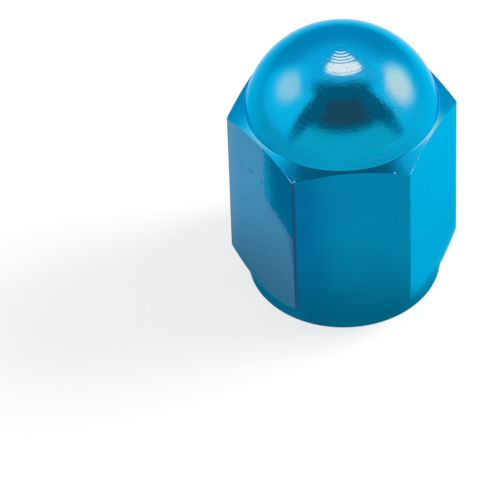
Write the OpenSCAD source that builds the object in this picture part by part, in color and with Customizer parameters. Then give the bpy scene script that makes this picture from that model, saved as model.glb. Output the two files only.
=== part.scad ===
// Tyre valve cap, turned from hexagon bar, with a rubber sealing washer at the end of its bore.
// Millimetres. The mouth rests on z = 0 and the dome points up. Two of the six flats face -X and +X.

/* [Hexagon bar] */
// Width of the bar across its flats
across_flats = 10; // [9.5:0.5:12]
// Rounding of the six long corners
corner_round = 0.2; // [0.1:0.05:0.5]
// Height of the upper corners above the mouth
corner_top = 10.6; // [9.5:0.05:11.5]

/* [Dome] */
// Height from the mouth to the top of the dome
cap_height = 15; // [14:0.5:18]
// How far the turned dome stays inside the flats
dome_step = 0.02; // [0.02:0.02:0.4]
// Slope of the turned shoulder below the dome, from the horizontal
shoulder_angle = 30; // [20:1:40]

/* [Collar] */
// How far the turned collar lies inside the flats
collar_step = 0.1; // [0.05:0.05:0.4]
// Height of the collar's straight wall
collar_height = 0.85; // [0.5:0.05:1.4]
// Slope of the heel from the collar up to the lower corners, from the horizontal
heel_angle = 48; // [30:1:55]
// Broken edge round the outside of the rim
rim_break = 0.1; // [0.05:0.05:0.3]

/* [Bore] */
// Diameter of the tapped wall, as drilled before the thread
thread_bore_d = 7; // [6.8:0.05:7.2]
// Diameter of the countersink at the mouth
mouth_d = 8.1; // [7.8:0.1:8.6]
// Depth of the washer's seat from the mouth
seat_depth = 8.8; // [8:0.1:9.6]
// Diameter of the undercut that ends the thread and holds the washer
undercut_d = 7.9; // [7.8:0.05:8.2]
// Diameter of the drilled room for the valve's pin
pin_room_d = 4; // [3.6:0.1:4.6]
// Straight depth of the pin's room past the seat
pin_room_depth = 0.8; // [0.4:0.1:1.4]
// Full angle of the drill's point
drill_point = 118; // [90:1:140]

/* [Sealing washer] */
// Thickness of the washer
washer_t = 1.4; // [1:0.1:2]
// Diameter of the washer's hole, which clears the valve's pin
washer_hole_d = 3.2; // [2.6:0.1:3.6]
// Clearance round the washer in its undercut
washer_gap = 0.05; // [0.02:0.01:0.15]
// Free height below the washer before the thread starts
washer_slack = 0.2; // [0.1:0.05:0.5]

/* [Hidden] */
$fn = 128;

flat_r = across_flats / 2;
sharp_corner_r = flat_r / cos(30);
corner_r = sharp_corner_r - corner_round * (1 / cos(30) - 1);
corner_centre_r = corner_r - corner_round;
dome_r = flat_r - dome_step;
dome_centre = cap_height - dome_r;
collar_r = flat_r - collar_step;
bore_r = thread_bore_d / 2;
undercut_r = undercut_d / 2;
washer_r = undercut_r - washer_gap;
thread_end = seat_depth - washer_t - washer_slack;

// Steps in the arc of each rounded corner
round_steps = 6;
// How far a cutting shape runs past the face that it cuts
overrun = 0.5;
// The turned form reaches past the bar's sharp corners, so that its cones cut all of them
turned_r = sharp_corner_r + overrun;
// The shoulder's cone carries on inside the dome to this radius
shoulder_inner_r = dome_r * 0.7;

function shoulder_z(r) = corner_top + (corner_r - r) * tan(shoulder_angle);
function heel_z(r) = collar_height + (r - collar_r) * tan(heel_angle);

// Section of the drawn bar: a hexagon whose corners are arcs that run tangent into the flats
module bar_section() {
    polygon([for (k = [0:5], step = [0:round_steps])
        let (middle = 60 * k + 30, turn = 60 * k + 60 * step / round_steps)
        [corner_centre_r * cos(middle) + corner_round * cos(turn),
         corner_centre_r * sin(middle) + corner_round * sin(turn)]]);
}

// What the lathe leaves of the bar below the dome: collar, heel, full bar and shoulder
module turned_form() {
    rotate_extrude()
        polygon([
            [0, 0],
            [collar_r - rim_break, 0],
            [collar_r, rim_break],
            [collar_r, collar_height],
            [turned_r, heel_z(turned_r)],
            [turned_r, shoulder_z(turned_r)],
            [shoulder_inner_r, shoulder_z(shoulder_inner_r)],
            [0, shoulder_z(shoulder_inner_r)],
        ]);
}

// The dome is less than half a ball. A taller cap gets a straight wall below it.
module dome() {
    translate([0, 0, dome_centre])
        sphere(r = dome_r);
    if (dome_centre > corner_top)
        translate([0, 0, corner_top])
            cylinder(h = dome_centre - corner_top, r = dome_r);
}

// Everything that is drilled and bored from the mouth
module bore() {
    point_h = pin_room_d / 2 / tan(drill_point / 2);
    // Countersink, with its slope carried past the rim
    translate([0, 0, -overrun])
        cylinder(h = (mouth_d - thread_bore_d) / 2 + overrun, r1 = mouth_d / 2 + overrun, r2 = bore_r);
    // Wall that takes the thread
    cylinder(h = seat_depth, r = bore_r);
    // Undercut behind the thread, up to the washer's seat
    translate([0, 0, thread_end])
        cylinder(h = seat_depth - thread_end, r = undercut_r);
    // Room for the valve's pin, with its drill point
    translate([0, 0, seat_depth - overrun])
        cylinder(h = pin_room_depth + overrun, r = pin_room_d / 2);
    translate([0, 0, seat_depth + pin_room_depth])
        cylinder(h = point_h, r1 = pin_room_d / 2, r2 = 0);
}

module cap_body() {
    color("deepskyblue")
        difference() {
            union() {
                intersection() {
                    translate([0, 0, -overrun])
                        linear_extrude(height = cap_height + overrun)
                            bar_section();
                    turned_form();
                }
                dome();
            }
            bore();
        }
}

module sealing_washer() {
    color("dimgray")
        translate([0, 0, seat_depth - washer_t])
            difference() {
                cylinder(h = washer_t, r = washer_r);
                translate([0, 0, -overrun])
                    cylinder(h = washer_t + 2 * overrun, r = washer_hole_d / 2);
            }
}

cap_body();
sealing_washer();
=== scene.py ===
# %% [markdown]
# Tyre valve cap in blue anodised aluminium.
# The cap screws onto a wheel's valve stem and keeps dirt out of it. It is turned from hexagon bar: a
# ball-shaped top, a sloping shoulder that cuts the six corners back, six flats for the fingers and a round
# collar at the mouth. Inside is a tapped hole with a rubber washer at its end. This notebook starts from
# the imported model, makes both pieces again with their fine forms and finishes, and sets them on a pale
# floor in soft studio light.

# %% Load the frame
from math import atan2, ceil, cos, hypot, pi, radians, sin, sqrt, tan

import bmesh
import bpy
from mathutils import Matrix, Vector


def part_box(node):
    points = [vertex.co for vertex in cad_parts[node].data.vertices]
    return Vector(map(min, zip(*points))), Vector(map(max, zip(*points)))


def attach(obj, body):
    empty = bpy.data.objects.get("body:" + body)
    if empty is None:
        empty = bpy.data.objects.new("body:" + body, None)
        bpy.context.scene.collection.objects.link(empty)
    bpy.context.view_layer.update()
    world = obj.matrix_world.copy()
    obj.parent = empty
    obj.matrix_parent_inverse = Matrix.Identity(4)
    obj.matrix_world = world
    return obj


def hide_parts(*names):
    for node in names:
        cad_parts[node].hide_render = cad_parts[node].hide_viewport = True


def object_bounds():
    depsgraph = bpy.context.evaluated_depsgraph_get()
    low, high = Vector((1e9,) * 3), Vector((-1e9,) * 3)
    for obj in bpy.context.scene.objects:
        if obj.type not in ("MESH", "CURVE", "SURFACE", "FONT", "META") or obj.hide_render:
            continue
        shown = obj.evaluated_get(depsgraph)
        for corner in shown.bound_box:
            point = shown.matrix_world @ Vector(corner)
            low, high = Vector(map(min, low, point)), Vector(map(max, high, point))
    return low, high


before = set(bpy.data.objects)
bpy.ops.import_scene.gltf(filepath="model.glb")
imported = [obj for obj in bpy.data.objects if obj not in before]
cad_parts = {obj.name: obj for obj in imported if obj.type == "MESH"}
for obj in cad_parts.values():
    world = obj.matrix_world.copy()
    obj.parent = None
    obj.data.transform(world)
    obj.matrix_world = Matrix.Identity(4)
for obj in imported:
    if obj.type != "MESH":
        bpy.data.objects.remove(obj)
cad_low, cad_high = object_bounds()
scene = bpy.context.scene
scene.view_settings.view_transform = "Standard"
print("nodes:", sorted(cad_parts), "height:", round(cad_high.z, 5))

# %% [markdown]
# The camera comes first, because every later choice is looked at through it. The photograph was taken from
# far away with a long lens, half way between a side view and a top view. A long lens keeps the flats'
# edges nearly parallel. The view is given as real values, and the point of the picture where the middle of
# the mouth lies says how far the cap stands off the middle.

# %% Camera
MM = 0.001
PHOTO_SIDE = 500
FOCAL_PIXELS = 5047.3
CAMERA_DISTANCE = 258.669 * MM
CAMERA_TURN = radians(26.983)
CAMERA_ELEVATION = radians(45.159)
CAMERA_ROLL = radians(-2.093)
MOUTH_PIXEL = (344.44, 259.99)


def place_camera():
    """Puts the camera where the mouth's middle lands on its pixel, at its distance."""
    turn = Matrix.Rotation(CAMERA_TURN, 3, "Z")
    forward = turn @ Vector((0, cos(CAMERA_ELEVATION), -sin(CAMERA_ELEVATION)))
    side = turn @ Vector((1, 0, 0))
    down = forward.cross(side)
    right = side * cos(CAMERA_ROLL) - down * sin(CAMERA_ROLL)
    down = side * sin(CAMERA_ROLL) + down * cos(CAMERA_ROLL)
    off_right, off_down = ((p - PHOTO_SIDE / 2) / FOCAL_PIXELS * CAMERA_DISTANCE for p in MOUTH_PIXEL)
    data = bpy.data.cameras.new("camera")
    data.lens = FOCAL_PIXELS / PHOTO_SIDE * data.sensor_width
    data.clip_start, data.clip_end = 0.01, 10
    camera = bpy.data.objects.new("camera", data)
    scene.collection.objects.link(camera)
    turned = Matrix((right, -down, -forward)).transposed().to_4x4()
    stand = -(right * off_right + down * off_down + forward * CAMERA_DISTANCE)
    camera.matrix_world = Matrix.Translation(stand) @ turned
    scene.camera = camera
    return camera


camera = place_camera()
print("lens", round(camera.data.lens, 1), "mm, camera at", [round(c, 4) for c in camera.location])

# %% [markdown]
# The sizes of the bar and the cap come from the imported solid's box: the flats face along X, and two
# corners point along Y. The made skin keeps half a micrometre inside that box, so that rounding never
# carries it outside. The other sizes of the turned form are those of the part itself.

# %% Sizes
SKIN_INSET = 0.0005 * MM
flat_r = cad_high.x - SKIN_INSET
corner_r = cad_high.y - SKIN_INSET
cap_top = cad_high.z - SKIN_INSET
corner_round = 0.2 * MM
corner_centre_r = corner_r - corner_round
corner_top = 10.6 * MM
shoulder_angle = radians(30)
heel_angle = radians(48)
collar_inset = 0.1 * MM
collar_r = flat_r - collar_inset
collar_top = 0.85 * MM
rim_break = 0.1 * MM
dome_inset = 0.02 * MM
dome_r = flat_r - dome_inset
dome_middle = cap_top - dome_r
print("across flats", round(2 * flat_r / MM, 2), "across corners", round(2 * corner_r / MM, 3), "mm")

# %% [markdown]
# Nearly all of the cap is turned, so its skin is one outline spun round the axis. Only the bar's own sides
# aren't round. The spin therefore gives evenly spaced columns first, and each column is then moved to the
# angle where the hexagon needs it: 24 steps across each flat and 8 round each corner, whose rounding is
# only 0.2 mm. A boolean cut with a hexagon prism would give the same form, but it leaves long thin faces
# that shade badly.

# %% The hexagon bar as a function of the angle
FLAT_STEPS = 24
CORNER_STEPS = 8
SECTOR = FLAT_STEPS + CORNER_STEPS
COLUMNS = 6 * SECTOR
flat_half_angle = atan2(corner_centre_r * sin(pi / 6), flat_r)


def column_angle(column):
    """The angle of a column of vertices, with the flats' middles at 0, 60 and so on."""
    sector, step = divmod(column, SECTOR)
    if step <= FLAT_STEPS:
        share = 2 * step / FLAT_STEPS - 1
        return sector * pi / 3 + share * flat_half_angle
    share = 2 * (step - FLAT_STEPS) / CORNER_STEPS - 1
    return (sector + 0.5) * pi / 3 + share * (pi / 6 - flat_half_angle)


def bar_radius(angle):
    """How far the side of the bar lies from the axis at an angle."""
    off = abs((angle + pi / 6) % (pi / 3) - pi / 6)
    if off <= flat_half_angle:
        return flat_r / cos(off)
    turned = pi / 6 - off
    return corner_centre_r * cos(turned) + sqrt(corner_round**2 - (corner_centre_r * sin(turned)) ** 2)


def shoulder_z(r):
    """Height of the sloping shoulder at a distance from the axis."""
    return corner_top + (corner_r - r) * tan(shoulder_angle)


def heel_z(r):
    """Height of the slope that leads from the collar up to the lower corners."""
    return collar_top + (r - collar_r) * tan(heel_angle)


print("columns:", COLUMNS, "lower corners at", round(heel_z(corner_r) / MM, 3), "mm")

# %% [markdown]
# The outline is a list of rows from the top of the dome down to the mouth and up the bore. Each row is a
# small function that says where the skin lies at an angle, so round rows and hexagon rows can stand in one
# list. On the real cap the lathe's tool left a few deep rings round the very top, where the metal hardly
# moves past the tool. They catch the lamp above as thin bright arcs, so they are true forms here: shallow
# saw teeth, each as wide as the tool's feed and about a hundredth of a millimetre deep. They are deepest
# on one side, as if the tool stood a little off the axis. Lower down, just above the shoulder, the tool
# slowed again and left a few wide waves.

# %% Rows of the dome
RING_EDGES = [edge * MM for edge in (0, 0.235, 0.448, 0.64, 0.83, 1.01, 1.175, 1.7, 1.76, 1.95)]
RING_TILT = [radians(tilt) for tilt in (6, 8, 10, 9, 7.5, 6, 1, 4, 0)]
RING_FALL = [0.5, 0.4, 0.42, 0.5, 0.6, 0.66, 0.5, 0.5, 0.5]
RING_REACH = RING_EDGES[-1]
RING_STEP = 0.0125 * MM
WAVE_REACH = 1.15 * MM
WAVE_PITCH = 0.3 * MM
WAVE_DEPTH = 0.005 * MM
WAVE_STEP = 0.025 * MM
NECK_FILLET = 0.14 * MM
RING_DEEP_SIDE = radians(-63)
RING_LEAST = 0.25
rows = []
bands = []


def add_row(band, place):
    """Adds a row, and the name of the finish for the band of skin that starts at it."""
    rows.append(place)
    bands.append(band)


def round_row(band, r, z):
    """Adds a row that is a plain circle."""
    add_row(band, lambda angle: (r, z))


def neck_fillet():
    """Middle of the small fillet between dome and shoulder, which touches both."""
    slope = Vector((sin(shoulder_angle), cos(shoulder_angle)))
    foot = slope.dot(Vector((corner_r, corner_top - dome_middle))) + NECK_FILLET
    reach = dome_r + NECK_FILLET
    along = Vector((slope.y, -slope.x))
    return slope * foot + along * sqrt(reach**2 - foot**2) + Vector((0, dome_middle))


fillet = neck_fillet()
neck_polar = atan2(fillet.x, fillet.y - dome_middle)
neck_arc = neck_polar * dome_r


def tool_relief(arc, angle):
    """Depth of the tool's rings and waves at a distance from the pole, measured along the dome."""
    deep = RING_LEAST + (1 - RING_LEAST) * ((1 + cos(angle - RING_DEEP_SIDE)) / 2) ** 2
    for start, end, tilt, fall in zip(RING_EDGES, RING_EDGES[1:], RING_TILT, RING_FALL):
        if start <= arc < end:
            across = (arc - start) / (end - start)
            tooth = min(across, (1 - across) * fall / (1 - fall))
            return tan(tilt) * (end - start) * tooth * deep
    above_neck = neck_arc - arc
    if above_neck < WAVE_REACH:
        return WAVE_DEPTH * sin(pi * above_neck / WAVE_REACH) * sin(pi * above_neck / WAVE_PITCH) ** 2
    return 0


def dome_row(arc):
    """Adds a row of the dome at a distance from the pole."""

    def place(angle):
        r = dome_r - tool_relief(arc, angle)
        return r * sin(arc / dome_r), dome_middle + r * cos(arc / dome_r)

    add_row("dome", place)


def dome_rows(start, end, step):
    """Adds rows of the dome between two distances from the pole. The last one belongs to what follows."""
    count = ceil((end - start) / step)
    for i in range(count):
        dome_row(start + (end - start) * i / count)


for start, end in zip(RING_EDGES, RING_EDGES[1:]):
    dome_rows(start, end, RING_STEP)
dome_rows(RING_REACH, neck_arc - WAVE_REACH, dome_r * radians(1))
dome_rows(neck_arc - WAVE_REACH, neck_arc, WAVE_STEP)
print("rows on the dome:", len(rows), "neck at r", round(dome_r * sin(neck_polar) / MM, 3), "mm")

# %% [markdown]
# Below the dome follow the shoulder, the flats, the heel and the collar. The shoulder and heel are cones,
# so where they cut the flats they leave the curved edges that every turned hexagon has.

# %% Rows from the neck to the rim
SHOULDER_ROWS = 48
RIPPLE_PITCH = 0.15 * MM
RIPPLE_DEPTH = 0.014 * MM
RIPPLE_LEAST = 0.1
SECOND_RIPPLE = 0.6
SECOND_PITCH = 1.7 * RIPPLE_PITCH
FLAT_ROWS = 10
HEEL_ROWS = 8
NECK_ROWS = 10
mouth_r = 4.05 * MM
soft_rows = []


def cone_row(band, start_r, share, height_at):
    """Adds a row on a cone, at a share of the way from a circle out to the bar's side."""

    def place(angle):
        r = start_r + (bar_radius(angle) - start_r) * share
        return r, height_at(angle)(r)

    add_row(band, place)


def rippled_shoulder(angle):
    """Height of the shoulder with the tool's ripples, which grow towards the corners, as a function of r."""
    off = abs((angle + pi / 6) % (pi / 3) - pi / 6) / (pi / 6)
    drift = 0.8 * sin(5 * angle) + 0.5 * sin(11 * angle)

    def height(r):
        outward = (r - neck_foot_r) / (corner_r - neck_foot_r)
        grown = (1 - RIPPLE_LEAST) * off**2 + RIPPLE_LEAST
        depth = RIPPLE_DEPTH * grown * ((1 - RIPPLE_LEAST) * outward**3 + RIPPLE_LEAST)
        wave = sin(2 * pi * r / RIPPLE_PITCH + drift) + SECOND_RIPPLE * sin(2 * pi * r / SECOND_PITCH - drift)
        crest = 1 + SECOND_RIPPLE
        return shoulder_z(r) - depth * (crest + wave) / (2 * crest)

    return height


def flat_row(share):
    """Adds a row on the flats, at a share of the way from their tops down to their feet."""

    def place(angle):
        r = bar_radius(angle)
        return r, shoulder_z(r) + (heel_z(r) - shoulder_z(r)) * share

    add_row("flat", place)


for i in range(NECK_ROWS + 1):
    lean = neck_polar + pi - (neck_polar - shoulder_angle) * i / NECK_ROWS
    round_row("shoulder", fillet.x + NECK_FILLET * sin(lean), fillet.y + NECK_FILLET * cos(lean))
neck_foot_r = rows[-1](0)[0]
for i in range(1, SHOULDER_ROWS):
    cone_row("shoulder", neck_foot_r, i / SHOULDER_ROWS, rippled_shoulder)
soft_rows.append(len(rows))
for i in range(FLAT_ROWS):
    flat_row(i / FLAT_ROWS)
soft_rows.append(len(rows))
for i in range(HEEL_ROWS):
    cone_row("heel", collar_r, 1 - i / HEEL_ROWS, lambda angle: heel_z)
soft_rows.append(len(rows))
round_row("collar", collar_r, collar_top)
round_row("collar", collar_r, (collar_top + rim_break) / 2)
soft_rows.append(len(rows))
round_row("collar", collar_r, rim_break)
soft_rows.append(len(rows))
round_row("collar", collar_r - rim_break, 0)
soft_rows.append(len(rows))
round_row("bore", mouth_r, 0)
print("rows so far:", len(rows), "shoulder starts at r", round(neck_foot_r / MM, 3), "mm")

# %% [markdown]
# The bore carries the thread of a car valve: 7.7 mm over its crests and 32 turns to the inch. The thread
# is cut into a drilled wall, so its rows are circles that are pushed outwards where the groove passes. The
# groove climbs one pitch for each turn. The countersink at the mouth cuts the first turns off at a slope,
# as it does on metal. A helix could be swept and cut out with a boolean instead, but pushed rows keep the
# skin one closed piece.

# %% Rows of the bore
THREAD_PITCH = 25.4 / 32 * MM
THREAD_ROWS = 12
GROOVE_DEPTH = 0.38 * MM
CREST_SHARE = 0.25
ROOT_SHARE = 0.125
bore_r = 3.5 * MM
undercut_r = 3.95 * MM
thread_end = 7.2 * MM
seat_z = 8.8 * MM
pin_room_r = 2 * MM
pin_room_end = 9.6 * MM
drill_tip = pin_room_end + pin_room_r / tan(radians(118) / 2)


def groove(z, angle):
    """How far the thread's groove reaches outwards at a height and an angle."""
    phase = (z / THREAD_PITCH - angle / (2 * pi)) % 1
    off_crest = min(phase, 1 - phase) - CREST_SHARE / 2
    flank = 0.5 - CREST_SHARE / 2 - ROOT_SHARE / 2
    return GROOVE_DEPTH * min(1, max(0, off_crest / flank))


def thread_row(z):
    """Adds a row of the tapped wall, which the countersink cuts back near the mouth."""

    def place(angle):
        return max(bore_r + groove(z, angle), mouth_r - z), z

    add_row("bore", place)


thread_start = mouth_r - bore_r - GROOVE_DEPTH
thread_count = round((thread_end - thread_start) / THREAD_PITCH * THREAD_ROWS)
for i in range(thread_count + 1):
    thread_row(thread_start + (thread_end - thread_start) * i / thread_count)
for r, z in (
    (undercut_r, thread_end),
    (undercut_r, seat_z),
    (pin_room_r, seat_z),
    (pin_room_r, pin_room_end),
):
    soft_rows.append(len(rows))
    round_row("bore", r, z)
round_row("bore", pin_room_r / 2, (pin_room_end + drill_tip) / 2)
round_row("bore", 0, drill_tip)
print("rows in all:", len(rows), "turns of thread:", round((thread_end - thread_start) / THREAD_PITCH, 1))

# %% [markdown]
# Now the outline is spun. A vertex layer remembers which row each vertex belongs to, so that the columns
# can be moved afterwards and each band of skin can be given its own finish. A sharp machined edge still
# has a tiny round, which catches the light as a thin line, so the edges between the bands are bevelled by
# a few hundredths. A Screw modifier would spin it too, but the operator's vertices can be moved at once.

# %% Spin the body
EDGE_SOFTENING = 0.03 * MM
SHARP_FROM = radians(14)
FINISH_ORDER = ["dome", "shoulder", "flat", "heel", "collar", "bore"]


def spin_outline(mesh, points, columns):
    """Spins a list of (r, z) points round Z, and returns the layer with each vertex's row."""
    row_of = mesh.verts.layers.int.new("row")
    line = []
    for i, (r, z) in enumerate(points):
        vertex = mesh.verts.new((r, 0, z))
        vertex[row_of] = i
        line.append(vertex)
    edges = [mesh.edges.new(pair) for pair in zip(line, line[1:])]
    bmesh.ops.spin(
        mesh,
        geom=line + edges,
        cent=(0, 0, 0),
        axis=(0, 0, 1),
        angle=2 * pi,
        steps=columns,
        use_merge=True,
    )
    return row_of


def make_object(name, mesh, materials):
    """Turns a finished bmesh into an object that sits at the origin."""
    data = bpy.data.meshes.new(name)
    mesh.to_mesh(data)
    mesh.free()
    for material in materials:
        data.materials.append(material)
    data.shade_smooth()
    data.set_sharp_from_angle(angle=SHARP_FROM)
    piece = bpy.data.objects.new(name, data)
    scene.collection.objects.link(piece)
    return piece


def make_body():
    """The skin of the cap, as a bmesh whose faces carry the number of their finish."""
    mesh = bmesh.new()
    row_of = spin_outline(mesh, [place(0) for place in rows], COLUMNS)
    for vertex in mesh.verts:
        column = round(atan2(vertex.co.y, vertex.co.x) / (2 * pi) * COLUMNS) % COLUMNS
        angle = column_angle(column)
        r, z = rows[vertex[row_of]](angle)
        vertex.co = (r * cos(angle), r * sin(angle), z)
    on_axis = [v for v in mesh.verts if hypot(v.co.x, v.co.y) < 1e-7]
    bmesh.ops.remove_doubles(mesh, verts=on_axis, dist=1e-7)
    for face in mesh.faces:
        first = min(vertex[row_of] for vertex in face.verts)
        face.material_index = FINISH_ORDER.index(bands[first])
    ends = [(edge, edge.verts[0][row_of], edge.verts[1][row_of]) for edge in mesh.edges]
    soft = [edge for edge, first, last in ends if first == last and first in soft_rows]
    bmesh.ops.bevel(
        mesh,
        geom=soft,
        offset=EDGE_SOFTENING,
        offset_type="OFFSET",
        segments=2,
        profile=0.5,
        affect="EDGES",
        material=-1,
        clamp_overlap=True,
    )
    bmesh.ops.recalc_face_normals(mesh, faces=mesh.faces)
    open_edges = [e for e in mesh.edges if len(e.link_faces) != 2]
    print("softened edges:", len(soft), "open edges:", len(open_edges), "volume", mesh.calc_volume())
    return mesh


body_mesh = make_body()
print("faces on the cap:", len(body_mesh.faces))

# %% [markdown]
# The sealing washer is punched from rubber sheet. Its edges are a little rounded, and it lies against the
# seat at the end of the bore. It could be a bevelled cylinder with a hole, but a spun section needs no
# boolean.

# %% Spin the washer
WASHER_COLUMNS = 96
WASHER_ROUND = 0.12 * MM
WASHER_ROUND_STEPS = 4
washer_low, washer_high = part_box("sealing_washer")
washer_hole_r = 1.6 * MM


def washer_outline():
    """The washer's section as a closed loop of (r, z), with a quarter round at each corner."""
    corners = (
        (washer_high.x, washer_low.z, -1, 1, 270),
        (washer_high.x, washer_high.z, -1, -1, 0),
        (washer_hole_r, washer_high.z, 1, -1, 90),
        (washer_hole_r, washer_low.z, 1, 1, 180),
    )
    points = []
    for r, z, inward, upward, start in corners:
        for i in range(WASHER_ROUND_STEPS + 1):
            lean = radians(start + 90 * i / WASHER_ROUND_STEPS)
            middle_r, middle_z = r + inward * WASHER_ROUND, z + upward * WASHER_ROUND
            points.append((middle_r + WASHER_ROUND * cos(lean), middle_z + WASHER_ROUND * sin(lean)))
    return points + points[:1]


def make_washer():
    """The washer as a bmesh."""
    mesh = bmesh.new()
    spin_outline(mesh, washer_outline(), WASHER_COLUMNS)
    bmesh.ops.remove_doubles(mesh, verts=mesh.verts, dist=1e-7)
    bmesh.ops.recalc_face_normals(mesh, faces=mesh.faces)
    return mesh


washer_mesh = make_washer()
print("faces on the washer:", len(washer_mesh.faces))

# %% [markdown]
# The finishes are node trees. A small helper keeps them short: it adds a node, joins a socket where it is
# given one, and sets a value where it is given a number. All patterns read the Object coordinates in
# millimetres, so a pattern's numbers are real sizes.

# %% A helper for node trees


class Wiring:
    """Adds and joins the nodes of one material or world."""

    def __init__(self, owner):
        owner.use_nodes = True
        self.tree = owner.node_tree
        self.tree.nodes.clear()

    def add(self, kind, inputs=None, **settings):
        """Adds a node. Settings are its properties, inputs are its sockets by name or number."""
        node = self.tree.nodes.new(kind)
        for name, value in settings.items():
            setattr(node, name, value)
        for name, value in (inputs or {}).items():
            self.put(node.inputs[name], value)
        return node

    def put(self, socket, value):
        """Joins a socket to another, or sets its value."""
        if isinstance(value, bpy.types.NodeSocket):
            self.tree.links.new(value, socket)
        else:
            socket.default_value = value

    def maths(self, operation, a, b=0.0, c=0.0):
        """A sum of one, two or three numbers."""
        return self.add("ShaderNodeMath", {0: a, 1: b, 2: c}, operation=operation).outputs[0]

    def vector(self, operation, a, b=(0, 0, 0)):
        """A sum of two vectors."""
        return self.add("ShaderNodeVectorMath", {0: a, 1: b}, operation=operation).outputs[0]

    def measure(self, operation, a, b=(0, 0, 0)):
        """One number from one or two vectors, such as a length, a distance or a dot product."""
        return self.add("ShaderNodeVectorMath", {0: a, 1: b}, operation=operation).outputs["Value"]

    def combine(self, x, y, z):
        """One vector from three numbers."""
        return self.add("ShaderNodeCombineXYZ", {0: x, 1: y, 2: z}).outputs[0]

    def split(self, vector):
        """The three numbers of a vector."""
        return self.add("ShaderNodeSeparateXYZ", {0: vector}).outputs

    def ramp(self, value, start, end, low=0.0, high=1.0):
        """A smooth step from low to high while the value goes from start to end."""
        inputs = {"Value": value, "From Min": start, "From Max": end, "To Min": low, "To Max": high}
        return self.add("ShaderNodeMapRange", inputs, interpolation_type="SMOOTHSTEP").outputs[0]

    def blend(self, share, a, b):
        """A colour between a and b."""
        node = self.add("ShaderNodeMix", data_type="RGBA")
        for name, value in (("Factor_Float", share), ("A_Color", a), ("B_Color", b)):
            self.put(next(s for s in node.inputs if s.identifier == name), value)
        return next(s for s in node.outputs if s.identifier == "Result_Color")

    def noise(self, vector, scale, detail=2.0, roughness=0.5):
        """Soft noise from 0 to 1 with a middle of 0.5."""
        inputs = {"Vector": vector, "Scale": scale, "Detail": detail, "Roughness": roughness}
        return self.add("ShaderNodeTexNoise", inputs).outputs[0]

    def bump(self, height, depth, under=None):
        """Turns a height from 0 to 1 into a normal. The depth is in metres."""
        inputs = {"Height": height, "Distance": depth, "Strength": 1.0}
        if under is not None:
            inputs["Normal"] = under
        return self.add("ShaderNodeBump", inputs).outputs[0]


print("helper ready")

# %% [markdown]
# Anodising turns the surface of the aluminium into a clear oxide skin that holds a blue dye. The metal
# below mirrors the room and the dye tints the mirror, so the finish is a metal with a strong blue base
# colour, and not paint. The dye lets almost no red through. The specular tint keeps the flats blue at a
# slant, where a bare metal would turn white.

# %% The blue metal shared by every finish
DYE_BLUE = (0.003, 0.435, 0.76, 1)
DYE_DEEP = (0.003, 0.41, 0.725, 1)
SLANT_TINT = (0.3, 0.85, 1.0, 1)


def blue_metal(name, roughness, slant_tint=SLANT_TINT):
    """A blue anodised metal. Returns its material, wiring, shader and the place on the piece in mm."""
    material = bpy.data.materials.new(name)
    wires = Wiring(material)
    place = wires.add("ShaderNodeTexCoord").outputs["Object"]
    place = wires.vector("MULTIPLY", place, (1000, 1000, 1000))
    cloud = wires.noise(place, 0.55, 3)
    shader = wires.add(
        "ShaderNodeBsdfPrincipled",
        {
            "Base Color": wires.blend(wires.ramp(cloud, 0.35, 0.65), DYE_DEEP, DYE_BLUE),
            "Metallic": 1.0,
            "Roughness": roughness,
            "Specular Tint": slant_tint,
        },
    )
    wires.add("ShaderNodeOutputMaterial", {"Surface": shader.outputs[0]})
    return material, wires, shader, place


def round_axis(wires, place):
    """The distance from the cap's axis, and the direction from it as a vector of length one."""
    flat_place = wires.vector("MULTIPLY", place, (1, 1, 0))
    distance = wires.measure("LENGTH", flat_place)
    direction = wires.vector("NORMALIZE", flat_place)
    return distance, direction


def turned_place(wires, direction, sweep, travel, rate):
    """Where a turned pattern is read: at one scale round the axis, and at another along the tool's travel."""
    x, y, z = wires.split(direction)
    x = wires.maths("MULTIPLY", x, sweep)
    y = wires.maths("MULTIPLY", y, sweep)
    return wires.combine(x, y, wires.maths("MULTIPLY", travel, rate))


def lathe_lines(wires, direction, travel, pitch, sweep=1.5):
    """Noise that changes quickly along the tool's travel and slowly round the axis."""
    return wires.noise(turned_place(wires, direction, sweep, travel, 1 / pitch), 1.0, 1)


print("dye", DYE_BLUE)

# %% [markdown]
# The dome has the finest turning: lines too thin to see one by one, a faint unevenness and streaks towards
# the foot that make the edges of reflections wander, a fine grain and tiny pits. Seen at a slant it is a
# little paler than the flats. Modelled, such lines would need millions of faces, so bump makes them.

# %% Finish of the dome
DOME_SLANT = (0.42, 0.85, 1.0, 1)
UNEVEN_DEPTH = 0.005 * MM
GRAIN_DEPTH = 0.0045 * MM
GRAIN_MIDDLE = 0.675
STREAK_DEPTH = 0.002 * MM
DOME_LINE_DEPTH = 0.0016 * MM
PIT_DEPTH = 0.004 * MM


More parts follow.
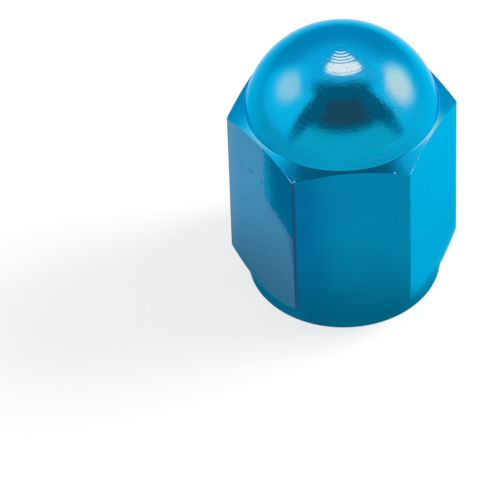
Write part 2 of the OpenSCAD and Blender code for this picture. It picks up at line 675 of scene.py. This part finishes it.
def dome_finish():
    """Fine turned metal: thin lines round the pole, streaks, grain and pits."""
    material, wires, shader, place = blue_metal("turned_dome", 0.09, DOME_SLANT)
    distance, direction = round_axis(wires, place)
    height = wires.maths("SUBTRACT", wires.split(place)[2], dome_middle / MM)
    polar = wires.maths("ARCTAN2", distance, height)
    arc = wires.maths("MULTIPLY", polar, dome_r / MM)
    rays = turned_place(wires, direction, 28, arc, 1.6)
    streaks = wires.maths("MULTIPLY", wires.noise(rays, 1.0, 2), wires.ramp(distance, 1.8, 3.2))
    normal = wires.bump(wires.noise(place, 1.1, 1), UNEVEN_DEPTH)
    grain = wires.maths("MULTIPLY_ADD", wires.noise(place, 11, 2), 0.35, wires.noise(place, 5.5, 3, 0.6))
    grain = wires.maths("SUBTRACT", grain, GRAIN_MIDDLE)
    grain = wires.maths("MULTIPLY", grain, wires.ramp(distance, 1.6, 4.2, 0.25, 1))
    normal = wires.bump(grain, GRAIN_DEPTH, normal)
    normal = wires.bump(streaks, STREAK_DEPTH, normal)
    normal = wires.bump(lathe_lines(wires, direction, arc, 0.1), DOME_LINE_DEPTH, normal)
    spots = wires.add("ShaderNodeTexVoronoi", {"Vector": place, "Scale": 9}).outputs["Distance"]
    normal = wires.bump(wires.ramp(spots, 0.0, 0.27), PIT_DEPTH, normal)
    wires.put(shader.inputs["Normal"], normal)
    return material


dome_material = dome_finish()
print("finish:", dome_material.name)

# %% [markdown]
# The shoulder was turned with a coarse feed, which shows as ripples. The tool left the corners and came
# back to them six times a turn, so it chattered there, and at three places it left a tiny burr that
# glints. The heel and the collar are duller, with fine lines round them and faint chatter.

# %% Finish of the shoulder, heel and collar
BURRS = [(0.03, -5.66, 10.65), (4.34, -3.22, 10.79), (4.93, -1.9, 10.86)]
BURR_REACH = 0.08
BURR_DEPTH = 0.02 * MM
CHATTER_DEPTH = 0.006 * MM
SHOULDER_LINE_DEPTH = 0.0018 * MM
COLLAR_SLANT = (0.12, 0.85, 1.0, 1)
COLLAR_CHATTER_DEPTH = 0.002 * MM
COLLAR_LINE_DEPTH = 0.0015 * MM


def shoulder_finish():
    """Coarsely turned metal with chatter towards the corners and a few burrs."""
    material, wires, shader, place = blue_metal("turned_shoulder", 0.12)
    distance, direction = round_axis(wires, place)
    normal = wires.bump(lathe_lines(wires, direction, distance, 0.07, 5), SHOULDER_LINE_DEPTH)
    cells = turned_place(wires, direction, 30, distance, 6)
    chatter = wires.maths("MULTIPLY", wires.noise(cells, 1.0, 1), wires.ramp(distance, 5.1, 5.6))
    normal = wires.bump(chatter, CHATTER_DEPTH, normal)
    for burr in BURRS:
        off = wires.measure("DISTANCE", place, burr)
        normal = wires.bump(wires.ramp(off, BURR_REACH, 0.0), BURR_DEPTH, normal)
    wires.put(shader.inputs["Normal"], normal)
    return material


def collar_finish(name):
    """Turned metal with fine lines round it and faint chatter along the axis."""
    material, wires, shader, place = blue_metal(name, 0.2, COLLAR_SLANT)
    distance, direction = round_axis(wires, place)
    height = wires.split(place)[2]
    normal = wires.bump(lathe_lines(wires, direction, height, 0.06, 2), COLLAR_LINE_DEPTH)
    chatter = wires.noise(wires.vector("MULTIPLY", direction, (24, 24, 1)), 1.0, 1)
    normal = wires.bump(chatter, COLLAR_CHATTER_DEPTH, normal)
    wires.put(shader.inputs["Normal"], normal)
    return material


shoulder_material = shoulder_finish()
heel_material = collar_finish("turned_heel")
collar_material = collar_finish("turned_collar")
print("finishes:", shoulder_material.name, heel_material.name, collar_material.name)

# %% [markdown]
# The flats are the bar's own drawn surface. Drawing the bar through its die leaves faint lines along it. On
# one flat a painted reflection of the pale floor beside it makes the colour paler, with a ragged border and
# upright streaks, and a few small specks are left out of it. Along one corner a painted dark reflection makes
# the colour deeper. The tapped wall is rougher, and the washer is dull black rubber. An image could show all
# that, but noise stays sharp at any size. A speck is given by its place across the flat, its height and its
# radius, in millimetres.

# %% Finish of the flats and the bore
# The flat with a painted pale reflection, and its colours.
PALE_REFLECTION_FLAT = radians(240)
PALE_REFLECTION_COLOUR = (0.17, 0.47, 0.77, 1)
PALE_REFLECTION_MOST = (0.27, 0.5, 0.76, 1)
# The colour of a painted dark reflection along one corner, and where it lies.
CORNER_DARK_REFLECTION = (0.045, 0.25, 0.52, 1)
ON_FLAT_FROM = 4.9
ON_FLAT_TO = 4.97
CORNER_FROM = -5.713
CORNER_TO = -5.739
DRAWN_WAVE_DEPTH = 0.002 * MM
DRAWN_LINE_DEPTH = 0.0005 * MM
BORE_LINE_DEPTH = 0.001 * MM
RUBBER_DARK = (0.026, 0.026, 0.028, 1)
RUBBER_PALE = (0.036, 0.036, 0.038, 1)
RUBBER_GRAIN_DEPTH = 0.012 * MM
SPECKS = [(-1.6, 8.53, 0.07), (-1.0, 8.57, 0.07), (-0.69, 8.65, 0.09), (0.15, 8.57, 0.1), (-1.22, 6.37, 0.06)]


def pale_reflection_share(wires, place, aside):
    """Where a painted pale reflection lies on one flat. The border is ragged, and upright streaks run beside
    it.
    """
    facing = Vector((cos(PALE_REFLECTION_FLAT), sin(PALE_REFLECTION_FLAT), 0))
    on_flat = wires.measure("DOT_PRODUCT", place, facing)
    height = wires.split(place)[2]
    flat_place = wires.combine(aside, height, 0)
    wander = wires.noise(wires.vector("MULTIPLY", flat_place, (2.5, 1.2, 1)), 1.0, 2)
    jags = wires.noise(wires.vector("MULTIPLY", flat_place, (4, 7, 1)), 1.0, 2)
    streaks = wires.noise(wires.vector("MULTIPLY", flat_place, (9, 0.8, 1)), 1.0, 2)
    side = wires.maths("MULTIPLY_ADD", wander, 0.5, aside)
    side = wires.maths("MULTIPLY_ADD", jags, 0.7, side)
    foot = wires.maths("MULTIPLY_ADD", aside, 0.45, height)
    foot = wires.maths("MULTIPLY_ADD", wander, 0.4, foot)
    foot = wires.maths("MULTIPLY_ADD", streaks, 1.1, foot)
    share = wires.maths("MAXIMUM", wires.ramp(side, 1.02, 0.94), wires.ramp(foot, 8.72, 8.62))
    strip = wires.maths("MULTIPLY", wires.ramp(aside, 1.6, 0.6), wires.ramp(streaks, 0.42, 0.62, 0.1, 0.5))
    share = wires.maths("MAXIMUM", share, strip)
    fine = wires.noise(wires.vector("MULTIPLY", flat_place, (14, 0.9, 1)), 1.0, 3)
    share = wires.maths("MULTIPLY", share, wires.ramp(fine, 0.35, 0.55, 0.82, 1))
    for speck_aside, speck_height, radius in SPECKS:
        off = wires.measure("DISTANCE", flat_place, (speck_aside, speck_height, 0))
        share = wires.maths("MULTIPLY", share, wires.ramp(off, radius * 0.6, radius * 1.6))
    return wires.maths("MULTIPLY", share, wires.ramp(on_flat, ON_FLAT_FROM, ON_FLAT_TO))


def flat_finish():
    """Drawn metal with faint lengthwise lines, a painted pale reflection on one flat and a painted dark one
    on a corner.
    """
    material, wires, shader, place = blue_metal("drawn_flat", 0.1)
    dye_and_reflection = shader.inputs["Base Color"].links[0].from_socket
    along = Vector((-sin(PALE_REFLECTION_FLAT), cos(PALE_REFLECTION_FLAT), 0))
    aside = wires.measure("DOT_PRODUCT", place, along)
    # Painted reflection: the pale floor beside the flat is painted into its colour.
    pale_reflection_tone = wires.blend(wires.ramp(aside, -1.7, -2.9), PALE_REFLECTION_COLOUR, PALE_REFLECTION_MOST)
    dye_and_reflection = wires.blend(pale_reflection_share(wires, place, aside), dye_and_reflection, pale_reflection_tone)
    # Painted dark reflection: the colour is deeper along one corner.
    corner = wires.ramp(wires.split(place)[1], CORNER_FROM, CORNER_TO)
    wires.put(shader.inputs["Base Color"], wires.blend(corner, dye_and_reflection, CORNER_DARK_REFLECTION))
    drawn = wires.vector("MULTIPLY", place, (1, 1, 0.12))
    normal = wires.bump(wires.noise(drawn, 1.6, 1), DRAWN_WAVE_DEPTH)
    normal = wires.bump(wires.noise(drawn, 6.5, 2), DRAWN_LINE_DEPTH, normal)
    wires.put(shader.inputs["Normal"], normal)
    return material


def bore_finish():
    """The tapped wall: rougher metal with fine tool lines."""
    material, wires, shader, place = blue_metal("tapped_bore", 0.32)
    distance, direction = round_axis(wires, place)
    height = wires.split(place)[2]
    normal = wires.bump(lathe_lines(wires, direction, height, 0.04, 3), BORE_LINE_DEPTH)
    wires.put(shader.inputs["Normal"], normal)
    return material


def rubber_finish():
    """Dull black rubber with a fine grain."""
    material = bpy.data.materials.new("washer_rubber")
    wires = Wiring(material)
    place = wires.vector("MULTIPLY", wires.add("ShaderNodeTexCoord").outputs["Object"], (1000, 1000, 1000))
    grain = wires.noise(place, 9.0, 4, 0.6)
    colour = wires.blend(wires.ramp(grain, 0.3, 0.7), RUBBER_DARK, RUBBER_PALE)
    rough = wires.ramp(grain, 0.3, 0.7, 0.55, 0.72)
    inputs = {"Base Color": colour, "Roughness": rough, "Normal": wires.bump(grain, RUBBER_GRAIN_DEPTH)}
    shader = wires.add("ShaderNodeBsdfPrincipled", inputs)
    wires.add("ShaderNodeOutputMaterial", {"Surface": shader.outputs[0]})
    return material


flat_material = flat_finish()
bore_material = bore_finish()
rubber_material = rubber_finish()
print("finishes:", flat_material.name, bore_material.name, rubber_material.name)

# %% [markdown]
# The two meshes now become objects. Each rides on the imported model's one body, takes its finishes in
# material slots and stands for an imported node, which is hidden. The weighted normals keep the wide flats
# flat up to their softened edges.

# %% Make the two pieces
finishes = {
    "dome": dome_material,
    "shoulder": shoulder_material,
    "flat": flat_material,
    "heel": heel_material,
    "collar": collar_material,
    "bore": bore_material,
}
cap = make_object("valve_cap_body", body_mesh, [finishes[name] for name in FINISH_ORDER])
weighted = cap.modifiers.new("flat_shading", "WEIGHTED_NORMAL")
weighted.mode = "FACE_AREA"
weighted.keep_sharp = True
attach(cap, "root")
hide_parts("cap_body")
washer = make_object("valve_cap_washer", washer_mesh, [rubber_material])
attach(washer, "root")
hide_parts("sealing_washer")
print("pieces:", cap.name, washer.name)

# %% [markdown]
# The cap stands on a pale floor. The camera sees the floor as nearly plain white, with the soft shadow at the
# cap's foot. Near the cap the metal mirrors the floor as the light really falls on it, with painted shade
# added: for mirrored rays the floor's colour is darker in front of the cap and at the lamp's side. Far off
# the metal mirrors a painted glow, whose tone changes slowly round the room. A plain white floor would do for
# the picture, but the metal would mirror it far too evenly.

# %% Floor
FLOOR_SIDE = 0.8
FLOOR_WHITE = 0.82
FLOOR_LIFT = 0.7
FLOOR_GLOW = 1.05
FLOOR_FRONT_SHADE = 0.6
FLOOR_FADE = 0.025
FADE_TURN = radians(-20)
LAMP_SIDE_SHADE = 0.78
FAR_FROM = 0.02
FAR_TO = 0.13


def make_floor():
    """A wide pale floor at the height of the mouth."""
    mesh = bmesh.new()
    bmesh.ops.create_grid(mesh, x_segments=1, y_segments=1, size=FLOOR_SIDE / 2)
    material = bpy.data.materials.new("pale_floor")
    wires = Wiring(material)
    path = wires.add("ShaderNodeLightPath").outputs
    inputs = {"Vector": wires.add("ShaderNodeTexCoord").outputs["Object"], "Angle": -CAMERA_TURN - FADE_TURN}
    turned = wires.add("ShaderNodeVectorRotate", inputs, rotation_type="Z_AXIS").outputs[0]
    aside, away, up = wires.split(turned)
    # Painted shade for mirrored rays: the floor's colour is darker in front of the cap and at the lamp's
    # side.
    tone = wires.ramp(away, -FLOOR_FADE, FLOOR_FADE, FLOOR_FRONT_SHADE, FLOOR_WHITE)
    tone = wires.maths("MULTIPLY", tone, wires.ramp(aside, 0.005, 0.06, 1, LAMP_SIDE_SHADE))
    mirrored = wires.combine(tone, tone, tone)
    distance = wires.measure("LENGTH", turned)
    way_aside, way_away, way_up = wires.split(wires.vector("NORMALIZE", turned))
    # Far off, mirrored rays see a painted glow whose tone changes slowly round the room.
    far_tone = wires.maths("MULTIPLY_ADD", way_aside, 0.08, wires.maths("MULTIPLY_ADD", way_away, 0.08, 0.8))
    far_blue = wires.maths("MULTIPLY_ADD", way_aside, 0.05, wires.maths("MULTIPLY_ADD", way_away, 0.11, 0.8))
    far_glow = wires.add("ShaderNodeEmission", {"Color": wires.combine(far_tone, far_tone, far_blue)})
    far_share = wires.maths("MULTIPLY", path["Is Glossy Ray"], wires.ramp(distance, FAR_FROM, FAR_TO))
    white = (FLOOR_WHITE, FLOOR_WHITE, FLOOR_WHITE, 1)
    lit = wires.add("ShaderNodeBsdfDiffuse", {"Color": wires.blend(path["Is Glossy Ray"], white, mirrored)})
    glow = wires.add("ShaderNodeEmission", {"Strength": FLOOR_GLOW})
    share = wires.maths("MULTIPLY", path["Is Camera Ray"], FLOOR_LIFT)
    mixed = wires.add("ShaderNodeMixShader", {0: share, 1: lit.outputs[0], 2: glow.outputs[0]})
    mixed = wires.add("ShaderNodeMixShader", {0: far_share, 1: mixed.outputs[0], 2: far_glow.outputs[0]})
    wires.add("ShaderNodeOutputMaterial", {"Surface": mixed.outputs[0]})
    material.cycles.emission_sampling = "NONE"
    floor = make_object("floor", mesh, [material])
    return floor


floor = make_floor()
print("floor side", FLOOR_SIDE, "m")

# %% [markdown]
# The room is a light tent. Its softboxes, its grey back and the dark opening behind the camera are drawn
# in the world. A patch of the room is given by the azimuth of its middle, measured from straight behind
# the cap as the photographer sees it, its elevation, half its width and half its height, all in degrees,
# and by how soft its edges are. A softbox has a pale face and a brighter oval heart, and a level lamp
# hangs overhead. The cap's dye returns almost no red, so in a plain render its brightest reflections would
# stay cyan, where a photograph bleaches them to white. The hearts of the lamps therefore carry a great
# deal of red, so that even the dye's tiny share of it shows, and the darkest part of the room carries a
# little. Only mirrored rays see that, so the floor stays neutral. Lamps as objects could do the same, but
# a drawn room gives their reflections exact edges and no noise.

# %% Light tent
PLAIN_WORLD = (0.55, 0.55, 0.55, 1)
TENT_WALL = (0.8, 0.85, 0.92, 1)
TENT_BACK = (0.55, 0.52, 0.64, 1)
TENT_FRONT = (0.8, 0.78, 0.71, 1)
TENT_SIDE = (0.5, 0.5, 0.56, 1)
ROOM_DARK = (0.22, 0.21, 0.235, 1)
ROOM_DARK_FOOT = (0.44, 0.43, 0.47, 1)
ROOM_DARKEST = (3, 0.13, 0.13, 1)
LAMP_FACE = (0.8, 1.06, 1.04, 1)
LEFT_HEART = (72, 1.32, 1.02, 1)
RIGHT_HEART = (140, 1.58, 0.98, 1)
TOP_LAMP = (225, 1.9, 1.14, 1)
OPENING_AT = (176, 45, 68, 47, 3)
BACK_AT = (-2, 14, 46, 25, 20, 0.15, 15)
LEFT_SIDE_AT = (-104, 68, 20, 14, 12)
RIGHT_SIDE_AT = (106, 68, 18, 14, 12)
FRONT_AT = (178, 4, 58, 23, 3, -0.5, 6)
DARKEST_AT = (176, 50, 36, 14, 5)
LEFT_FACE_AT = (-82, 30, 33, 24, 6, 0, 9)
RIGHT_FACE_AT = (79, 29, 29, 25, 7, 0, 9)
LEFT_HEART_AT = (-76.5, 33.5, 17, 15, 0.55, -0.3, 46)
RIGHT_HEART_AT = (75, 26.5, 19, 16.5, 0.5, 0.1, 43)
TOP_LAMP_AT = (-0.245, 0.365, 0.08, 0.40, 1.3, 0.012)
TOP_LAMP_MIDDLE = 0.03


def light_tent():
    """The world: white for the camera, a plain grey for soft light and the tent for mirrored rays."""
    world = bpy.data.worlds.new("light_tent")
    scene.world = world
    wires = Wiring(world)
    way = wires.add("ShaderNodeTexCoord").outputs["Generated"]
    inputs = {"Vector": way, "Angle": -CAMERA_TURN}
    way = wires.add("ShaderNodeVectorRotate", inputs, rotation_type="Z_AXIS").outputs[0]
    x, y, z = wires.split(way)
    azimuth = wires.maths("DEGREES", wires.maths("ARCTAN2", x, y))
    elevation = wires.maths("DEGREES", wires.maths("ARCSINE", z))

    def band(off, half, soft):
        """A soft-edged band round zero, from 0 to 1."""
        outer = wires.maths("ADD", half, soft)
        inner = wires.maths("SUBTRACT", half, soft)
        return wires.ramp(wires.maths("ABSOLUTE", off), outer, inner)

    def patch(azimuth_at, elevation_at, half_width, half_height, soft, lean=0.0, soft_height=None):
        """How much of a soft-edged patch of the room a direction meets. Its sides may lean."""
        aside = wires.maths("WRAP", wires.maths("SUBTRACT", azimuth, azimuth_at), 180, -180)
        above = wires.maths("SUBTRACT", elevation, elevation_at)
        width = wires.maths("MULTIPLY_ADD", above, lean, half_width)
        share = band(aside, width, soft)
        return wires.maths("MULTIPLY", share, band(above, half_height, soft_height or soft))

    level = wires.maths("MAXIMUM", z, 0.2)
    across = wires.maths("DIVIDE", x, level)
    away = wires.maths("DIVIDE", y, level)

    def heart(azimuth_at, elevation_at, half_width, half_height, soft, lean, top):
        """The same for the oval heart of a lamp, which is cut off sharply at its top."""
        above = wires.maths("SUBTRACT", elevation, elevation_at)
        middle = wires.maths("MULTIPLY_ADD", above, lean, azimuth_at)
        aside = wires.maths("WRAP", wires.maths("SUBTRACT", azimuth, middle), 180, -180)
        aside = wires.maths("DIVIDE", aside, half_width)
        above = wires.maths("DIVIDE", above, half_height)
        off = wires.measure("LENGTH", wires.combine(aside, above, 0))
        share = wires.ramp(off, 1 + soft, 1 - soft)
        return wires.maths("MULTIPLY", share, wires.ramp(elevation, top + 2, top - 2))

    def overhead(left, right, near, far, flare, soft):
        """The same for a level lamp overhead, by its edges at a height of 1. Its near edge is a curve."""
        off_middle = wires.maths("SUBTRACT", across, TOP_LAMP_MIDDLE)
        bent = wires.maths("MULTIPLY_ADD", wires.maths("MULTIPLY", off_middle, off_middle), -flare, away)
        share = band(wires.maths("SUBTRACT", across, (left + right) / 2), (right - left) / 2, soft)
        share = wires.maths("MULTIPLY", share, wires.ramp(away, far + soft, far - soft))
        return wires.maths("MULTIPLY", share, wires.ramp(bent, near - soft, near + soft))

    behind = wires.ramp(away, 0.0, -0.17)
    opening = wires.maths("MULTIPLY", patch(*OPENING_AT), behind)
    ceiling = wires.maths("MULTIPLY", wires.ramp(elevation, 50, 66), behind)
    dark = wires.blend(wires.ramp(elevation, 32, 6), ROOM_DARK, ROOM_DARK_FOOT)
    room = wires.blend(patch(*BACK_AT), TENT_WALL, TENT_BACK)
    room = wires.blend(patch(*LEFT_SIDE_AT), room, TENT_SIDE)
    room = wires.blend(patch(*RIGHT_SIDE_AT), room, TENT_SIDE)
    room = wires.blend(wires.maths("MAXIMUM", opening, ceiling), room, dark)
    room = wires.blend(patch(*FRONT_AT), room, TENT_FRONT)
    room = wires.blend(patch(*DARKEST_AT), room, ROOM_DARKEST)
    room = wires.blend(patch(*LEFT_FACE_AT), room, LAMP_FACE)
    room = wires.blend(patch(*RIGHT_FACE_AT), room, LAMP_FACE)
    room = wires.blend(heart(*LEFT_HEART_AT), room, LEFT_HEART)
    room = wires.blend(heart(*RIGHT_HEART_AT), room, RIGHT_HEART)
    room = wires.blend(overhead(*TOP_LAMP_AT), room, TOP_LAMP)
    path = wires.add("ShaderNodeLightPath").outputs
    seen = wires.blend(path["Is Glossy Ray"], PLAIN_WORLD, room)
    seen = wires.blend(path["Is Camera Ray"], seen, (1, 1, 1, 1))
    background = wires.add("ShaderNodeBackground", {"Color": seen})
    wires.add("ShaderNodeOutputWorld", {"Surface": background.outputs[0]})
    world.cycles.sampling_method = "NONE"
    return world


world = light_tent()
print("world:", world.name)

# %% [markdown]
# One large soft lamp at the right, in the same place as the mirrored softbox there, lights the floor.

# %% Floor lamp
LAMP_AZIMUTH = radians(75)
LAMP_ELEVATION = radians(35)
LAMP_DISTANCE = 0.5
LAMP_SIDE = 0.2
LAMP_POWER = 3.2


def floor_lamp():
    """A square area lamp that faces the cap and isn't mirrored in it."""
    data = bpy.data.lights.new("floor_lamp", "AREA")
    data.shape = "SQUARE"
    data.size = LAMP_SIDE
    data.energy = LAMP_POWER
    lamp = bpy.data.objects.new("floor_lamp", data)
    scene.collection.objects.link(lamp)
    turn = LAMP_AZIMUTH - CAMERA_TURN
    towards = Vector((sin(turn) * cos(LAMP_ELEVATION), cos(turn) * cos(LAMP_ELEVATION), sin(LAMP_ELEVATION)))
    turned = towards.to_track_quat("Z", "Y").to_matrix().to_4x4()
    lamp.matrix_world = Matrix.Translation(towards * LAMP_DISTANCE) @ turned
    lamp.visible_glossy = False
    return lamp


lamp = floor_lamp()
print("floor lamp", LAMP_POWER, "W")

# %% [markdown]
# The flats stand upright, so they mirror the floor beside the cap. Cards that only mirrored rays see lie
# there: a pale one at the left, a dark flag before it, a grey one in front and a white one at the right. The
# flag and the grey card are painted shade, which darkens the mirrored floor at the left and in front of the
# cap. The flag's edge shows on the left flat of the real cap as an uneven line, because a drawn bar is never
# quite flat, and here the card's own edge is cut unevenly for that. A ring of painted shade lies round the
# foot, where little light gets in. Only mirrored rays see all these.

# %% Cards on the floor
CARD_LIFT = 0.03 * MM
SHADE_FROM = 5
SHADE_TO = 12
PALE_CARD = [(0.35, 0.29, 0.31, 1), (0.6, 0.57, 0.6, 1)]
# Tone of the dark flag: painted shade at the left of the cap, seen only in reflection.
FLAG_SHADE_TONE = (0.3, 0.27, 0.33, 1)
# Tones of the grey card: painted shade in front of the cap, seen only in reflection.
GREY_SHADE_CARD = [(0.28, 0.28, 0.28, 1), (0.5, 0.51, 0.53, 1)]
GREY_SHADE_CARD_LEFT = [(0.24, 0.24, 0.26, 1), (0.36, 0.34, 0.43, 1)]
FOOT_SHADE = (0.5, 0.52, 0.58, 1)
BOUNCE_TONE = (0.8, 0.86, 0.89, 1)
front_along = Vector((cos(radians(30)), sin(radians(30)), 0))
right_corner = Vector((4.97, -2.87, 0))
grey_inward = Vector((sin(radians(50)), -cos(radians(50)), 0))


def shaded(wires, place, tones):
    """A card's tone, which the cap's own shade darkens near the cap."""
    return wires.blend(wires.ramp(wires.measure("LENGTH", place), SHADE_FROM, SHADE_TO), *tones)


def pale_paint(wires, place):
    """Colour and cover of the pale card."""
    return shaded(wires, place, PALE_CARD), 1.0


def flag_shade_paint(wires, place):
    """Colour and cover of the dark flag, a painted shade."""
    return FLAG_SHADE_TONE, 1.0


def grey_shade_paint(wires, place):
    """Colour and cover of the grey card, a painted shade in front of the cap: bluer at its left, and fading
    out towards the right.
    """
    side = wires.measure("DOT_PRODUCT", place, front_along)
    left, middle = shaded(wires, place, GREY_SHADE_CARD_LEFT), shaded(wires, place, GREY_SHADE_CARD)
    colour = wires.blend(wires.ramp(side, -1.9, 0.2), left, middle)
    x, y, z = wires.split(place)
    turned_away = wires.ramp(wires.maths("DEGREES", wires.maths("ARCTAN2", y, x)), 8, -34)
    off_corner = wires.vector("SUBTRACT", place, right_corner)
    reach = wires.measure("LENGTH", off_corner)
    inside = wires.measure("DOT_PRODUCT", off_corner, grey_inward)
    wedge = wires.maths("MULTIPLY", wires.ramp(inside, -0.8, 1.2, 0, 0.85), wires.ramp(reach, 13, 10))
    return colour, wires.maths("MAXIMUM", turned_away, wedge)


def shade_paint(wires, place):
    """Colour and cover of the shade round the foot."""
    return FOOT_SHADE, wires.ramp(wires.measure("LENGTH", place), 6.6, 5.0)


def bounce_paint(wires, place):
    """Colour and cover of the white card at the right, which keeps the foot of the right flat bright."""
    distance = wires.measure("LENGTH", place)
    x, y, z = wires.split(place)
    turned = wires.ramp(wires.maths("DEGREES", wires.maths("ARCTAN2", y, x)), -14, -3)
    cover = wires.maths("MULTIPLY", wires.ramp(distance, 5.25, 5.6), wires.ramp(distance, 11, 7))
    return BOUNCE_TONE, wires.maths("MULTIPLY", cover, turned)


def card(name, paint, corners_mm, layer):
    """A thin card on the floor, given by its corners in mm."""
    mesh = bmesh.new()
    mesh.faces.new([mesh.verts.new((x * MM, y * MM, layer * CARD_LIFT)) for x, y in corners_mm])
    material = bpy.data.materials.new(name)
    wires = Wiring(material)
    place = wires.vector("MULTIPLY", wires.add("ShaderNodeTexCoord").outputs["Object"], (1000, 1000, 0))
    colour, cover = paint(wires, place)
    glow = wires.add("ShaderNodeEmission", {"Color": colour})
    clear = wires.add("ShaderNodeBsdfTransparent")
    mixed = wires.add("ShaderNodeMixShader", {0: cover, 1: clear.outputs[0], 2: glow.outputs[0]})
    wires.add("ShaderNodeOutputMaterial", {"Surface": mixed.outputs[0]})
    material.cycles.emission_sampling = "NONE"
    piece = make_object(name, mesh, [material])
    piece.visible_camera = False
    piece.visible_diffuse = False
    piece.visible_shadow = False
    return piece


SHADE_RING_R = 7
SHADE_RING_SIDES = 48
ring_turns = [2 * pi * i / SHADE_RING_SIDES for i in range(SHADE_RING_SIDES)]
ring_corners = [(SHADE_RING_R * cos(turn), SHADE_RING_R * sin(turn)) for turn in ring_turns]
bounce_corners = [(0, 0), (14, -5), (14, 14), (-1, 14)]
grey_corners = [(-3, -3), (0, -24), (24, -24), (34, 0), (34, 30), (0, 0)]
pale_corners = [(-24, -13), (0, -13), (0, 0), (-24, 3)]
flag_far_edge = [(-5, -6.15), (-6.8, -5.98), (-7.9, -5.7), (-9, -5.25), (-12.5, -5.35), (-24, -5.9)]
flag_corners = [(-24, -20), (7, -20), (1.5, -7.5)] + flag_far_edge
card("foot_shade", shade_paint, ring_corners, 1)
card("bounce_card", bounce_paint, bounce_corners, 2)
card("grey_shade_card", grey_shade_paint, grey_corners, 3)
card("pale_card", pale_paint, pale_corners, 4)
card("shade_flag", flag_shade_paint, flag_corners, 5)
print("cards laid")
